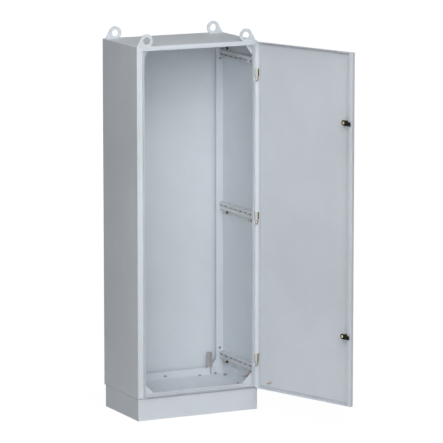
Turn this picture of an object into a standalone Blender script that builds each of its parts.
"""Floor-standing switchgear cabinet (housing for an automatic transfer switch).

Welded sheet-steel body on a plinth, overlay door on three lift-off hinges with
two quarter-turn locks, four lifting eyes and three levels of mounting rail.
All lengths are in millimetres; meshes are written in metres.
World: X to the right, Y to the back, Z up. The floor is Z = 0, the front rim
plane of the body is Y = 0 and the cabinet is centred on X = 0.
"""
import math
from collections import namedtuple

import bmesh
import bpy
from mathutils import Vector

# ---------------------------------------------------------------- dimensions
MM = 0.001
WIDTH = 600.0
DEPTH = 370.0                        # rim plane to rear edge
HEIGHT = 1700.0                      # roof above the floor, without lifting eyes
PLINTH_H = 100.0
PLINTH_D = 355.0                     # stops short of the body at the back
SHEET = 2.0                          # body sheet
GAP = 0.4                            # clearance between separate pieces
FOLD_EDGE = 1.2                      # softened outer fold of rim and roof
FOLD_MID = FOLD_EDGE * 0.3           # middle step of the softened fold
HALF_W = WIDTH / 2
INNER_X = HALF_W - SHEET - GAP       # half width available between the side walls
BEHIND_RIM = SHEET + GAP
UNDER_ROOF = HEIGHT - SHEET - GAP
FLOOR_Z = PLINTH_H + GAP             # underside of the floor sheet
FLOOR_TOP = FLOOR_Z + SHEET

RIM_LIP = 3.0                        # gutter lip thickness
LIP_OUT = 18.7                       # how far the lip stands in front of the rim
OPEN_X = 271.5                       # half width of the opening inside the lip
OPEN_Z0, OPEN_Z1 = 116.3, 1682.0     # lower and upper edge of the opening
LIP_X = OPEN_X + RIM_LIP

REAR_Y = 350.0                       # front face of the rear flange ring
REAR_FLANGE = 35.5
REAR_RING_D = 12.0                   # depth of the ring's folded edge
REAR_FIXINGS = {                     # screw places: (x, z)
    "lower_left": (-282.0, 223.0), "lower_right": (282.0, 223.0),
    "upper_left": (-282.0, 1581.0), "upper_right": (282.0, 1581.0),
    "bottom": (0.0, 113.0), "top": (0.0, 1687.0),
}
PLINTH_BOLTS = {                     # bolt places: (x, y)
    "front_left": (-282.5, 55.0), "front_right": (282.5, 55.0),
    "rear_left": (-282.5, 296.0), "rear_right": (282.5, 296.0),
}

EYE_X, EYE_Z = 246.6, 1724.6         # centre of the round head
EYE_R, EYE_HOLE_R, EYE_T = 30.5, 16.0, 5.0
EYE_FOOT_X = 295.0                   # outer end of the foot
EYE_FOOT_H = 2.0                     # upright edge at the outer end
EYE_BASE = HEIGHT + 0.3
EYE_Y = {"front": 12.5, "rear": 350.5}   # plate mid planes

RAIL_Z = {"lower": 195.0, "middle": 899.0, "upper": 1603.0}
RAIL_Y0, RAIL_Y1 = 12.0, 349.0
RAIL_FACE_X = 281.0                  # slotted face, distance from centre
SLOT_PITCH, SLOT_COUNT, SLOT_FIRST_Y = 50.0, 6, 36.0
SLOT_L, SLOT_W = 27.0, 6.0
END_SLOT_Y, END_SLOT_L = 332.0, 26.0     # shorter slot at the rear end
RAIL_HOLE_R, RAIL_HOLE_Y = 3.6, (40.0, 296.0)
RAIL_HOLE_DROP = 30.0                # from the slot line, toward the wide leg

PIN_X, PIN_Y, PIN_R = 289.0, -12.5, 2.5  # door hinge axis and pin
BORE_R = PIN_R + GAP
BARREL_R = 5.5
HINGE_Z = {"lower": 244.0, "middle": 900.0, "upper": 1556.0}

DOOR_OPEN = 109.7                    # degrees from closed, rest position
DOOR_HW = 297.0
DOOR_Z0, DOOR_Z1 = 103.0, 1695.0
DOOR_Y = -24.0                       # outer face when closed
DOOR_FOLD = 18.0                     # depth of the folded edge
DOOR_FOLD_Y = DOOR_Y + DOOR_FOLD     # rear edge of the fold when closed
DOOR_T = 1.5
DOOR_BEND_R = 14.0                   # rounded hinge-side edge
DOOR_EDGE_LIP = 19.0                 # inward lip along the lock side

LOCK_X = -257.5
LOCK_Z = {"upper": 1382.0, "lower": 421.0}
LOCK_BARREL_R = 10.0
LOCK_BORE_R = LOCK_BARREL_R + GAP
CAM_LEN = 39.0
CAM_HUB_R = 12.5
CAM_Z0, CAM_Z1 = -12.4, 5.8          # edges of the arm, from the lock axis
CAM_Y0, CAM_Y1 = 27.0, 29.6          # cam faces, from the outer door face

SIDES = ((-1, "left"), (1, "right"))

# ---------------------------------------------------------------- surfaces
Surface = namedtuple("Surface", "color roughness metallic")

ZINC_COLOR = (0.55, 0.54, 0.50)
BLACK_COLOR = (0.02, 0.02, 0.022)
PAINT = Surface(color=(0.62, 0.64, 0.66), roughness=0.5, metallic=0.0)
SEAL = Surface(color=(0.45, 0.46, 0.47), roughness=0.8, metallic=0.0)
COPPER = Surface(color=(0.72, 0.35, 0.22), roughness=0.35, metallic=0.9)
BRASS = Surface(color=(0.78, 0.62, 0.28), roughness=0.3, metallic=1.0)
DARK_STEEL = Surface(color=(0.10, 0.10, 0.11), roughness=0.4, metallic=0.8)
HOUSING_BLACK = Surface(color=BLACK_COLOR, roughness=0.4, metallic=0.3)
CAM_BLACK = Surface(color=BLACK_COLOR, roughness=0.45, metallic=0.3)
SCREW_ZINC = Surface(color=ZINC_COLOR, roughness=0.35, metallic=0.9)
RAIL_ZINC = Surface(color=ZINC_COLOR, roughness=0.45, metallic=0.6)
PLATE_ZINC = Surface(color=ZINC_COLOR, roughness=0.5, metallic=0.6)
BRACKET_ZINC = Surface(color=ZINC_COLOR, roughness=0.5, metallic=0.5)
HINGE_ZINC = Surface(color=ZINC_COLOR, roughness=0.3, metallic=0.9)
PIN_ZINC = Surface(color=ZINC_COLOR, roughness=0.25, metallic=1.0)
CORE_ZINC = Surface(color=ZINC_COLOR, roughness=0.35, metallic=0.8)


def make_material(name, surface):
    mat = bpy.data.materials.new(name)
    mat.use_nodes = True
    shader = mat.node_tree.nodes["Principled BSDF"]
    shader.inputs["Base Color"].default_value = (*surface.color, 1.0)
    shader.inputs["Roughness"].default_value = surface.roughness
    shader.inputs["Metallic"].default_value = surface.metallic
    mat.diffuse_color = (*surface.color, 1.0)
    return mat


# ---------------------------------------------------------------- objects
def mesh_object(name, mesh, parent):
    """Turn a bmesh in millimetres into a named object in metres."""
    bmesh.ops.remove_doubles(mesh, verts=mesh.verts, dist=0.001)
    bmesh.ops.recalc_face_normals(mesh, faces=mesh.faces)
    bmesh.ops.scale(mesh, vec=(MM, MM, MM), verts=mesh.verts)
    data = bpy.data.meshes.new(name)
    mesh.to_mesh(data)
    mesh.free()
    ob = bpy.data.objects.new(name, data)
    bpy.context.scene.collection.objects.link(ob)
    ob.parent = parent
    return ob


def part(name, mesh, surface, parent=None, smooth=False):
    ob = mesh_object(name, mesh, parent)
    ob.data.materials.append(make_material("mat_" + name, surface))
    if smooth:
        ob.data.shade_smooth()
        ob.data.set_sharp_from_angle(angle=math.radians(35))
    return ob


def helper(name, mesh, parent=None):
    """Hidden operand of a boolean."""
    ob = mesh_object(name, mesh, parent)
    ob.hide_render = True
    ob.display_type = "WIRE"
    return ob


def boolean(target, operand, operation):
    mod = target.modifiers.new(operation.lower(), "BOOLEAN")
    mod.operation = operation
    mod.object = operand
    mod.solver = "EXACT"


def cut(target, name, mesh):
    boolean(target, helper(name, mesh, target.parent), "DIFFERENCE")


def weld(target, name, mesh):
    boolean(target, helper(name, mesh, target.parent), "UNION")


def pivot(name, location, turn_z=0.0, parent=None):
    ob = bpy.data.objects.new(name, None)
    bpy.context.scene.collection.objects.link(ob)
    ob.location = Vector(location) * MM
    ob.rotation_euler = (0.0, 0.0, math.radians(turn_z))
    ob.empty_display_size = 0.05
    ob.parent = parent
    return ob


# ---------------------------------------------------------------- solids
def place(point, along, axis):
    """Outline point to 3-D. Axis z takes (x, y), axis x (y, z), axis y (x, z)."""
    u, v = point
    return {"x": (along, u, v), "y": (u, along, v), "z": (u, v, along)}[axis]


def loft(loops, closed=False, mesh=None):
    """Join loops of points in order; closed returns to the first, else ends are capped."""
    if mesh is None:
        mesh = bmesh.new()
    rows = [[mesh.verts.new(point) for point in loop] for loop in loops]
    pairs = list(zip(rows, rows[1:]))
    if closed:
        pairs.append((rows[-1], rows[0]))
    count = len(rows[0])
    for near, far in pairs:
        for i in range(count):
            j = (i + 1) % count
            mesh.faces.new((near[i], near[j], far[j], far[i]))
    if not closed:
        mesh.faces.new(rows[0][::-1])
        mesh.faces.new(rows[-1])
    return mesh


def prism(outline, axis, start, end, mesh=None):
    """Extrude a closed 2-D outline along an axis."""
    return loft([[place(p, along, axis) for p in outline] for along in (start, end)], mesh=mesh)


def turned(profile, centre, axis, segments, closed=False, mesh=None):
    """Solid of revolution from (radius, height along the axis) stations."""
    loops = []
    for radius, height in profile:
        loop = []
        for i in range(segments):
            angle = 2 * math.pi * i / segments
            offset = place((radius * math.cos(angle), radius * math.sin(angle)), height, axis)
            loop.append(tuple(c + d for c, d in zip(centre, offset)))
        loops.append(loop)
    return loft(loops, closed, mesh)


def cylinder(radius, start, end, centre, axis, segments, mesh=None):
    return turned([(radius, start), (radius, end)], centre, axis, segments, mesh=mesh)


# ---------------------------------------------------------------- outlines
def arc(centre_u, centre_v, radius, start, end, steps):
    """Points of an arc; angles in degrees."""
    angles = [math.radians(start + (end - start) * i / steps) for i in range(steps + 1)]
    return [(centre_u + radius * math.cos(a), centre_v + radius * math.sin(a)) for a in angles]


def rectangle(u0, u1, v0, v1):
    return [(u0, v0), (u1, v0), (u1, v1), (u0, v1)]


def centred_rectangle(width, height):
    return rectangle(-width / 2, width / 2, -height / 2, height / 2)


def slot(centre_u, centre_v, length, width, steps=4):
    """Round-ended slot, long side along the first coordinate."""
    radius = width / 2
    half = length / 2 - radius
    return (arc(centre_u + half, centre_v, radius, -90, 90, steps)
            + arc(centre_u - half, centre_v, radius, 90, 270, steps))


def hexagon(centre_u, centre_v, across_flats, turn=0.0):
    radius = across_flats / math.sqrt(3)
    return arc(centre_u, centre_v, radius, turn, turn + 300, 5)


def span(side, near, far):
    """The x range between two distances from the centre, on one side."""
    return sorted((side * near, side * far))


def upright_loop(outline, y, inset=0.0, centre_x=0.0):
    """Rectangle in an x-z plane; outline = (half width, bottom, top)."""
    half_width, bottom, top = outline
    corners = rectangle(-half_width + inset + centre_x, half_width - inset + centre_x,
                        bottom + inset, top - inset)
    return [place(p, y, "y") for p in corners]


def chamfered_loop(outline, y, corner_x, corner_z, inset=0.0):
    """Like upright_loop, with its four corners cropped."""
    half_width, bottom, top = outline
    x = half_width - inset
    z0, z1 = bottom + inset, top - inset
    corners = [(-x + corner_x, z0), (x - corner_x, z0), (x, z0 + corner_z), (x, z1 - corner_z),
               (x - corner_x, z1), (-x + corner_x, z1), (-x, z1 - corner_z), (-x, z0 + corner_z)]
    return [place(p, y, "y") for p in corners]


def level_loop(half_width, front, back, z):
    return [place(p, z, "z") for p in rectangle(-half_width, half_width, front, back)]


# ---------------------------------------------------------------- body
def front_frame():
    """Front rim with its forward-standing gutter lip, one closed ring."""
    opening = (OPEN_X, OPEN_Z0, OPEN_Z1)
    lip = (LIP_X, OPEN_Z0 - RIM_LIP, OPEN_Z1 + RIM_LIP)
    body = (HALF_W, PLINTH_H, HEIGHT)
    bevel = 0.6                      # on both front edges of the lip
    part("front_frame", loft([
        upright_loop(opening, SHEET),
        upright_loop(opening, -LIP_OUT + bevel),
        upright_loop(opening, -LIP_OUT, inset=-bevel),
        upright_loop(lip, -LIP_OUT, inset=bevel),
        upright_loop(lip, -LIP_OUT + bevel),
        upright_loop(lip, 0.0),
        upright_loop(body, 0.0, inset=FOLD_EDGE),
        upright_loop(body, FOLD_MID, inset=FOLD_MID),
        upright_loop(body, FOLD_EDGE),
        upright_loop(body, SHEET),
    ], closed=True), PAINT)


def side_walls():
    for side, side_name in SIDES:
        x0, x1 = span(side, HALF_W, HALF_W - SHEET)
        outline = rectangle(x0, x1, BEHIND_RIM, DEPTH)
        part(side_name + "_side_wall", prism(outline, "z", PLINTH_H, UNDER_ROOF), PAINT)


def roof_panel():
    """Roof sheet with softened upper edges at the sides and back."""
    stations = [                     # inset, z
        (0.0, HEIGHT - SHEET), (0.0, HEIGHT - FOLD_EDGE),
        (FOLD_MID, HEIGHT - FOLD_MID), (FOLD_EDGE, HEIGHT),
    ]
    part("roof_panel", loft([level_loop(HALF_W - inset, BEHIND_RIM, DEPTH - inset, z)
                             for inset, z in stations]), PAINT)


def rear_holes(radius, start, end):
    mesh = bmesh.new()
    for x, z in REAR_FIXINGS.values():
        cylinder(radius, start, end, (x, 0, z), "y", 16, mesh)
    return mesh


def rear_frame():
    """Rear flange ring with filled inner corners and fixing holes."""
    outer = (INNER_X, PLINTH_H + SHEET + 2 * GAP, UNDER_ROOF)
    extra = 4.0                      # flange is this much narrower at top and bottom
    inner = (HALF_W - SHEET - REAR_FLANGE,
             outer[1] + REAR_FLANGE - extra, outer[2] - REAR_FLANGE + extra)
    edge_crop = (1.0, 1.0)           # x, z
    inner_crop = (32.0, 38.0)
    frame = part("rear_frame", loft([
        chamfered_loop(outer, REAR_Y, *edge_crop),
        chamfered_loop(outer, REAR_Y + REAR_RING_D, *edge_crop),
        chamfered_loop(outer, REAR_Y + REAR_RING_D, *edge_crop, inset=SHEET),
        chamfered_loop(outer, REAR_Y + SHEET, *edge_crop, inset=SHEET),
        chamfered_loop(inner, REAR_Y + SHEET, *inner_crop),
        chamfered_loop(inner, REAR_Y, *inner_crop),
    ], closed=True), PAINT)
    cut(frame, "cut_rear_frame_holes", rear_holes(6.0, REAR_Y - 3, REAR_Y + 5))


def rear_panel():
    """Shallow tray, open to the front, set into the back of the body."""
    tray = (295.0, 104.0, 1695.5)    # half width, bottom, top
    front, back = REAR_Y + REAR_RING_D + 1.0, DEPTH - 0.5
    panel = part("rear_panel", loft([
        upright_loop(tray, back),
        upright_loop(tray, front),
        upright_loop(tray, front, inset=SHEET),
        upright_loop(tray, back - SHEET, inset=SHEET),
    ]), PAINT)
    cut(panel, "cut_rear_panel_holes", rear_holes(3.6, DEPTH - 6, DEPTH + 3))

    screw = [                        # radius, y
        (2.6, REAR_Y + 3.0), (2.9, REAR_Y + 4.0), (2.9, DEPTH - 0.1), (5.5, DEPTH - 0.1),
        (6.0, DEPTH + 0.6), (5.2, DEPTH + 2.6), (3.0, DEPTH + 3.2),
    ]
    for name, (x, z) in REAR_FIXINGS.items():
        part("rear_panel_screw_" + name, turned(screw, (x, 0, z), "y", 16),
             SCREW_ZINC, smooth=True)


def floor_and_plinth():
    """Floor sheet with a front upstand, on a plinth ring with inward flanges."""
    upstand_y, upstand_top = 4.8, 123.6
    floor_back = REAR_Y - GAP
    floor_plate = part("floor_plate", prism([
        (upstand_y, FLOOR_Z), (floor_back, FLOOR_Z), (floor_back, FLOOR_TOP),
        (upstand_y + SHEET, FLOOR_TOP), (upstand_y + SHEET, upstand_top),
        (upstand_y, upstand_top),
    ], "x", -INNER_X, INNER_X), PAINT)

    holes = bmesh.new()
    for x, y in PLINTH_BOLTS.values():
        cylinder(4.6, 80.0, 110.0, (x, y, 0), "z", 16, holes)
    bolt_cutter = helper("cut_bolt_holes", holes)
    boolean(floor_plate, bolt_cutter, "DIFFERENCE")

    flange, bevel, top = 36, 0.6, PLINTH_H - GAP
    section = [                      # inset from the plinth's outer face, z
        (0, bevel), (0, top), (flange, top), (flange, top - SHEET), (SHEET, top - SHEET),
        (SHEET, SHEET), (flange, SHEET), (flange, 0), (bevel, 0),
    ]
    plinth = part("plinth", loft([level_loop(HALF_W - inset, inset, PLINTH_D - inset, z)
                                  for inset, z in section], closed=True), PAINT)
    boolean(plinth, bolt_cutter, "DIFFERENCE")


def plinth_bolts():
    """Hexagon heads welded to a shank with a round washer."""
    shank_r, washer_r = 4.0, 8.5
    washer_z0, washer_z1 = FLOOR_TOP + 1.0, FLOOR_TOP + 2.9
    shank = [                        # radius, z
        (shank_r, 84.0), (shank_r, washer_z0), (washer_r, washer_z0),
        (washer_r, washer_z1), (shank_r, washer_z1), (shank_r, FLOOR_TOP + 5.0),
    ]
    for name, (x, y) in PLINTH_BOLTS.items():
        head = prism(hexagon(x, y, across_flats=13.0), "z", FLOOR_TOP + 2.2, FLOOR_TOP + 7.6)
        bolt = part("plinth_bolt_" + name, head, DARK_STEEL)
        weld(bolt, "cut_add_shank_" + name, turned(shank, (x, y, 0), "z", 16))


def front_gussets():
    """Triangular plates behind the corners of the front rim."""
    beyond_x, beyond_z = 18.0, 8.0   # how far the plate runs past the opening edges
    corners = [                      # name, opening edge z, inward z sign, legs in the opening
        ("lower", OPEN_Z0, 1, 56.0, 56.0),
        ("upper", OPEN_Z1, -1, 32.0, 44.0),
    ]
    for side, side_name in SIDES:
        for level, edge_z, inward, leg_x, leg_z in corners:
            outer_x = OPEN_X + beyond_x
            base_z = edge_z - inward * beyond_z
            triangle = [
                (side * outer_x, base_z),
                (side * (OPEN_X - leg_x - beyond_z * leg_x / leg_z), base_z),
                (side * outer_x, edge_z + inward * (leg_z + beyond_x * leg_z / leg_x)),
            ]
            part("front_gusset_%s_%s" % (level, side_name),
                 prism(triangle, "y", BEHIND_RIM, BEHIND_RIM + SHEET), PAINT)


def lifting_eyes():
    """Upright plates on the roof: round head, straight tangent to an outer foot."""
    foot_dx, foot_dz = EYE_FOOT_X - EYE_X, EYE_BASE - EYE_Z
    tangent = (math.degrees(math.atan2(foot_dz, foot_dx))
               + math.degrees(math.acos(EYE_R / math.hypot(foot_dx, foot_dz))))
    head_end = 180 - math.degrees(math.asin(foot_dz / EYE_R))    # where the head meets the base
    outline = [(EYE_X + u, EYE_Z + v) for u, v in arc(0, 0, EYE_R, tangent, head_end, 20)]
    outline += [(EYE_FOOT_X, EYE_BASE), (EYE_FOOT_X, EYE_BASE + EYE_FOOT_H)]
    for row, y in EYE_Y.items():
        for side, side_name in SIDES:
            # the head is handed, its centre lies on the given side
            plate = prism([(side * u, v) for u, v in outline], "y", y - EYE_T / 2, y + EYE_T / 2)
            eye = part("lifting_eye_%s_%s" % (row, side_name), plate, PAINT, smooth=True)
            hole = cylinder(EYE_HOLE_R, y - 8, y + 8, (side * EYE_X, 0, EYE_Z), "y", 24)
            cut(eye, "cut_eye_%s_%s" % (row, side_name), hole)


# ---------------------------------------------------------------- interior fittings
def mounting_rail(side, side_name, level):
    z = RAIL_Z[level]
    up = -1.0 if level == "upper" else 1.0       # upper pair is fitted upside down
    face, wall = RAIL_FACE_X, INNER_X
    section = [                      # distance from centre, height from the slot line
        (face, -19), (face, 14), (wall, 14), (wall, 12), (face + 2, 12),
        (face + 2, -17), (wall, -17), (wall, -46), (wall - 2, -46), (wall - 2, -19),
    ]
    outline = [(side * distance, z + up * height) for distance, height in section]
    rail = part("mounting_rail_%s_%s" % (level, side_name),
                prism(outline, "y", RAIL_Y0, RAIL_Y1), RAIL_ZINC)

    holes = bmesh.new()
    x0, x1 = span(side, face - 3, face + 5)
    for i in range(SLOT_COUNT):
        prism(slot(SLOT_FIRST_Y + i * SLOT_PITCH, z, SLOT_L, SLOT_W), "x", x0, x1, holes)
    prism(slot(END_SLOT_Y, z, END_SLOT_L, SLOT_W), "x", x0, x1, holes)
    for y in RAIL_HOLE_Y:
        cylinder(RAIL_HOLE_R, side * (wall - 6), side * (wall + 3),
                 (0, y, z - up * RAIL_HOLE_DROP), "x", 12, holes)
    cut(rail, "cut_rail_%s_%s" % (level, side_name), holes)


def rail_end_plate(side, side_name):
    """Slotted plate at the rear of a lower rail, round at its front end."""
    z = RAIL_Z["lower"]
    x0, x1 = span(side, RAIL_FACE_X - 0.3, RAIL_FACE_X - 2.8)
    end_r, end_y = 10.0, 253.0
    outline = [(RAIL_Y1, z - end_r), (RAIL_Y1, z + end_r)] + arc(end_y, z, end_r, 90, 270, 12)
    plate = part("rail_end_plate_" + side_name, prism(outline, "x", x0, x1), PLATE_ZINC)
    slots = bmesh.new()
    for y, length in ((275.5, 40.0), (325.0, 38.0)):
        prism(slot(y, z, length, width=10.0, steps=6), "x", x0 - 3, x1 + 3, slots)
    cut(plate, "cut_end_plate_" + side_name, slots)


def support_bracket(side, side_name):
    """Angle bracket that carries the lower edge of a mounting plate."""
    bottom, top = FLOOR_TOP + GAP, 209.0
    back = REAR_Y - GAP
    foot_y, neck_y = 342.0, 333.4
    x0, x1 = span(side, 229.9, 232.3)
    web = [(back, bottom), (back, top), (neck_y, top), (neck_y, 143.0),
           (foot_y, 133.0), (foot_y, bottom)]
    bracket = part("support_bracket_" + side_name, prism(web, "x", x0, x1), BRACKET_ZINC)
    x0, x1 = span(side, 212.0, 231.0)
    weld(bracket, "cut_add_leaf_" + side_name,
         prism(rectangle(x0, x1, 136.0, top), "y", back - 2.4, back))


def earth_stud(name, foot, axis, collar, shank, tip, parent=None):
    """Collared stud; collar, shank and tip are signed heights above the foot."""
    profile = [(5.4, 0.0), (5.4, collar), (4.0, collar), (4.0, shank), (3.2, tip)]
    part(name, turned(profile, foot, axis, 16), COPPER, parent, smooth=True)


# ---------------------------------------------------------------- hinges, body half
def body_hinge(name, z):
    """Blind barrel on an arm and base plate at the gutter lip, with its pin."""
    barrel = [                       # radius, height from the hinge centre
        (BARREL_R - 0.6, -38.0), (BARREL_R, -37.2), (BARREL_R, -20.4), (BORE_R, -20.4),
        (BORE_R, -34.0), (0.8, -34.0), (0.8, -38.0),
    ]
    leaf = part("hinge_body_leaf_" + name,
                turned(barrel, (PIN_X, PIN_Y, z), "z", 24, closed=True), HINGE_ZINC, smooth=True)
    base_x = LIP_X + GAP
    arm = rectangle(base_x, PIN_X - 3.9, PIN_Y - 2.0, PIN_Y + 2.0)
    weld(leaf, "cut_add_arm_" + name, prism(arm, "z", z - 37.0, z - 21.0))
    base = rectangle(base_x, base_x + 2.5, -17.5, -3.0)
    weld(leaf, "cut_add_base_" + name, prism(base, "z", z - 44.0, z - 14.0))
    pin = [(PIN_R, -33.4), (PIN_R, 16.0), (PIN_R - 0.8, 17.0)]
    part("hinge_pin_" + name, turned(pin, (PIN_X, PIN_Y, z), "z", 20), PIN_ZINC, smooth=True)


# ---------------------------------------------------------------- door
# Built closed, in coordinates measured from the hinge axis; its pivot swings it open.
def from_hinge(points):
    """Closed-door world (x, y) points to door pivot coordinates."""
    return [(x - PIN_X, y - PIN_Y) for x, y in points]


def lock_centre(z):
    """Lock axis at the outer door face, in door pivot coordinates."""
    return (LOCK_X - PIN_X, DOOR_Y - PIN_Y, z)


def door_panel(door_pivot):
    bend_x, bend_y = DOOR_HW - DOOR_BEND_R, DOOR_Y + DOOR_BEND_R
    lock_edge = [                    # softened lock-side edge, from the fold to the outer face
        (-DOOR_HW + 0.8, DOOR_FOLD_Y), (-DOOR_HW, DOOR_FOLD_Y - 0.8),
        (-DOOR_HW, DOOR_Y + 1.0), (-DOOR_HW + 0.3, DOOR_Y + 0.3), (-DOOR_HW + 1.0, DOOR_Y),
    ]
    lip_x = -DOOR_HW + DOOR_EDGE_LIP
    outer = ([(lip_x, DOOR_FOLD_Y)] + lock_edge
             + arc(bend_x, bend_y, DOOR_BEND_R, -90, 0, 10) + [(DOOR_HW, DOOR_FOLD_Y)])
    inner = ([(DOOR_HW - DOOR_T, DOOR_FOLD_Y)]
             + arc(bend_x, bend_y, DOOR_BEND_R - DOOR_T, 0, -90, 10)
             + [(-DOOR_HW + DOOR_T, DOOR_Y + DOOR_T), (-DOOR_HW + DOOR_T, DOOR_FOLD_Y - DOOR_T),
                (lip_x, DOOR_FOLD_Y - DOOR_T)])
    door = part("door_panel", prism(from_hinge(outer + inner), "z", DOOR_Z0, DOOR_Z1),
                PAINT, door_pivot, smooth=True)

    fold = from_hinge(lock_edge + arc(bend_x, bend_y, DOOR_BEND_R, -90, -5, 10)
                      + [(DOOR_HW - 12.0, DOOR_FOLD_Y)])
    for name, z0, z1 in (("bottom", DOOR_Z0, DOOR_Z0 + DOOR_T),
                         ("top", DOOR_Z1 - DOOR_T, DOOR_Z1)):
        weld(door, "cut_add_door_%s_fold" % name, prism(fold, "z", z0, z1))

    # slanted relief at the hinge-side corners
    relief = bmesh.new()
    for edge_z, inward in ((DOOR_Z0, 1), (DOOR_Z1, -1)):
        outside_z, inside_z = edge_z - inward * 5.0, edge_z + inward * 9.0
        outline = [(DOOR_Y + 9.0 - PIN_Y, outside_z), (DOOR_FOLD_Y + 4.0 - PIN_Y, outside_z),
                   (DOOR_FOLD_Y + 4.0 - PIN_Y, inside_z), (DOOR_FOLD_Y - 1.0 - PIN_Y, inside_z)]
        prism(outline, "x", DOOR_HW - 11.0 - PIN_X, DOOR_HW + 5.0 - PIN_X, relief)
    cut(door, "cut_door_corner_relief", relief)

    holes = bmesh.new()
    for z in LOCK_Z.values():
        cylinder(LOCK_BORE_R, -5, 8, lock_centre(z), "y", 24, holes)
    cut(door, "cut_door_lock_holes", holes)


def door_gasket(door_pivot):
    """Domed seal on the inner face, meeting the gutter lip."""
    overlap = 2.5                    # past the lip; the inner sides use 1.2
    inner = (OPEN_X - 1.2, OPEN_Z0 + overlap, OPEN_Z1 - overlap)
    outer = (LIP_X + overlap, OPEN_Z0 - RIM_LIP - overlap, OPEN_Z1 + RIM_LIP + overlap)
    middle = tuple((a + b) / 2 for a, b in zip(inner, outer))
    root = DOOR_Y + DOOR_T + 0.3 - PIN_Y
    crown = root + 3.0
    shoulder = 1.6
    stations = [                     # outline, y, inset
        (inner, root, 0.0), (outer, root, 0.0), (outer, root + 1.2, 0.0),
        (outer, crown - 0.2, shoulder), (middle, crown, 0.0),
        (inner, crown - 0.2, -shoulder), (inner, root + 1.2, 0.0),
    ]
    part("door_gasket", loft([upright_loop(outline, y, inset, centre_x=-PIN_X)
                              for outline, y, inset in stations], closed=True),
         SEAL, door_pivot)


def door_hinge(name, z, door_pivot):
    """Block inside the rounded edge, bored for the pin."""
    section = [                      # distance from the hinge-side edge, from the outer face
        (3.6, 17.0), (3.6, 12.0), (5.2, 8.6), (7.4, 6.2),
        (11.5, 6.0), (11.5, 2.8), (15.5, 2.4), (15.5, 17.0),
    ]
    outline = from_hinge([(DOOR_HW - across, DOOR_Y + inward) for across, inward in section])
    leaf = part("hinge_door_leaf_" + name, prism(outline, "z", z - 19.0, z + 19.0),
                HINGE_ZINC, door_pivot)
    cut(leaf, "cut_hinge_bore_" + name, cylinder(BORE_R, z - 22.0, z + 22.0, (0, 0, 0), "z", 20))


# ---------------------------------------------------------------- quarter-turn locks
# Distances along the lock axis run inward from the outer door face.
AXIS = (0, 0, 0)                     # lock axis in lock pivot coordinates


def lock_housing(name, z, door_pivot):
    """Flanged sleeve through the door, held by a hexagon nut."""
    centre = lock_centre(z)
    sleeve = [                       # radius, distance inward
        (14.0, -0.4), (14.0, -1.8), (12.6, -3.0), (6.4, -3.0), (6.4, 24.0), (9.4, 24.0),
        (LOCK_BARREL_R, 23.4), (LOCK_BARREL_R, -0.4),
    ]
    part(name + "_lock_housing", turned(sleeve, centre, "y", 24, closed=True),
         HOUSING_BLACK, door_pivot, smooth=True)
    nut_y = centre[1] + DOOR_T + GAP
    nut_outline = hexagon(centre[0], z, across_flats=24.0, turn=30.0)
    nut = part(name + "_lock_nut", prism(nut_outline, "y", nut_y, nut_y + 5.0),
               HINGE_ZINC, door_pivot)
    cut(nut, "cut_nut_" + name, cylinder(LOCK_BORE_R, -4, 12, centre, "y", 24))


def lock_core(name, lock_pivot):
    """Turning insert: round shaft, square end for the cam, slotted front."""
    core = part(name + "_lock_core", cylinder(6.0, -2.6, 26.6, AXIS, "y", 24),
                CORE_ZINC, lock_pivot, smooth=True)
    weld(core, "cut_add_square_" + name, prism(centred_rectangle(8, 8), "y", 25.0, 30.0))
    hollows = prism(centred_rectangle(3.0, 8.4), "y", -4.0, 3.0)
    cylinder(2.4, 22.0, 34.0, AXIS, "y", 16, hollows)
    cut(core, "cut_core_" + name, hollows)


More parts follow.
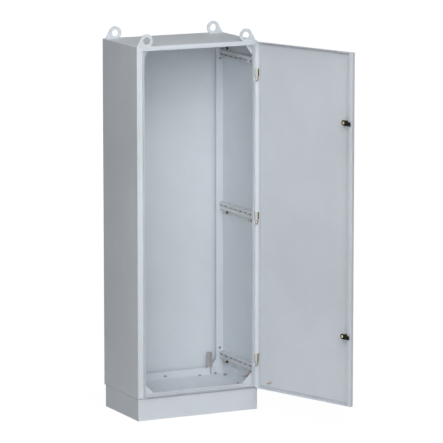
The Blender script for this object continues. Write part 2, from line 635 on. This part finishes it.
def lock_cam(name, lock_pivot):
    """Round hub, flat arm toward -X and a cranked catch at the tip."""
    arm_end = CAM_LEN - 7.5
    hub = arc(0, 0, CAM_HUB_R, 30, 270, 16) + [(arm_end, CAM_Z0), (arm_end, CAM_Z1)]
    cam = part(name + "_lock_cam", prism([(-reach, z) for reach, z in hub], "y", CAM_Y0, CAM_Y1),
               CAM_BLACK, lock_pivot)
    tip = [                          # reach from the lock axis, distance inward
        (CAM_LEN - 8.5, CAM_Y0), (CAM_LEN - 6.5, 26.4), (CAM_LEN, 26.4), (CAM_LEN, 29.0),
        (CAM_LEN - 5.5, 29.0), (arm_end, CAM_Y1), (CAM_LEN - 8.5, CAM_Y1),
    ]
    weld(cam, "cut_add_tip_" + name, prism([(-reach, y) for reach, y in tip],
                                           "z", CAM_Z0, CAM_Z1))
    cut(cam, "cut_cam_square_" + name, prism(centred_rectangle(8.8, 8.8), "y", 24.0, 33.0))

    screw = [                        # radius, distance inward
        (2.0, 23.0), (2.0, 30.5), (6.8, 30.5), (6.8, 31.6), (4.6, 31.6), (4.3, 33.4), (3.0, 34.0),
    ]
    part(name + "_cam_screw", turned(screw, AXIS, "y", 20), BRASS, lock_pivot, smooth=True)


# ---------------------------------------------------------------- build
def build_body():
    front_frame()
    side_walls()
    roof_panel()
    rear_frame()
    rear_panel()
    floor_and_plinth()
    plinth_bolts()
    front_gussets()
    lifting_eyes()
    for side, side_name in SIDES:
        for level in RAIL_Z:
            mounting_rail(side, side_name, level)
        rail_end_plate(side, side_name)
        support_bracket(side, side_name)
    earth_stud("floor_earth_stud", (250.0, 96.0, FLOOR_TOP + GAP), "z",
               collar=2.2, shank=9.6, tip=10.4)
    earth_stud("wall_earth_stud", (INNER_X, 92.0, 138.0), "x",
               collar=-2.0, shank=-23.0, tip=-24.0)
    for name, z in HINGE_Z.items():
        body_hinge(name, z)


def build_door():
    door_pivot = pivot("door_pivot", (PIN_X, PIN_Y, 0.0), DOOR_OPEN)
    door_panel(door_pivot)
    door_gasket(door_pivot)
    for name, z in HINGE_Z.items():
        door_hinge(name, z, door_pivot)
    stud_x, stud_y = from_hinge([(DOOR_HW - 91.0, DOOR_Y + DOOR_T + GAP)])[0]
    earth_stud("door_earth_stud", (stud_x, stud_y, 138.0), "y",
               collar=2.0, shank=24.0, tip=25.0, parent=door_pivot)
    for name, z in LOCK_Z.items():
        lock_pivot = pivot(name + "_lock_pivot", lock_centre(z), parent=door_pivot)
        lock_housing(name, z, door_pivot)
        lock_core(name, lock_pivot)
        lock_cam(name, lock_pivot)


for old_object in list(bpy.data.objects):
    bpy.data.objects.remove(old_object, do_unlink=True)
for old_mesh in list(bpy.data.meshes):
    bpy.data.meshes.remove(old_mesh)
build_body()
build_door()
bpy.context.view_layer.update()
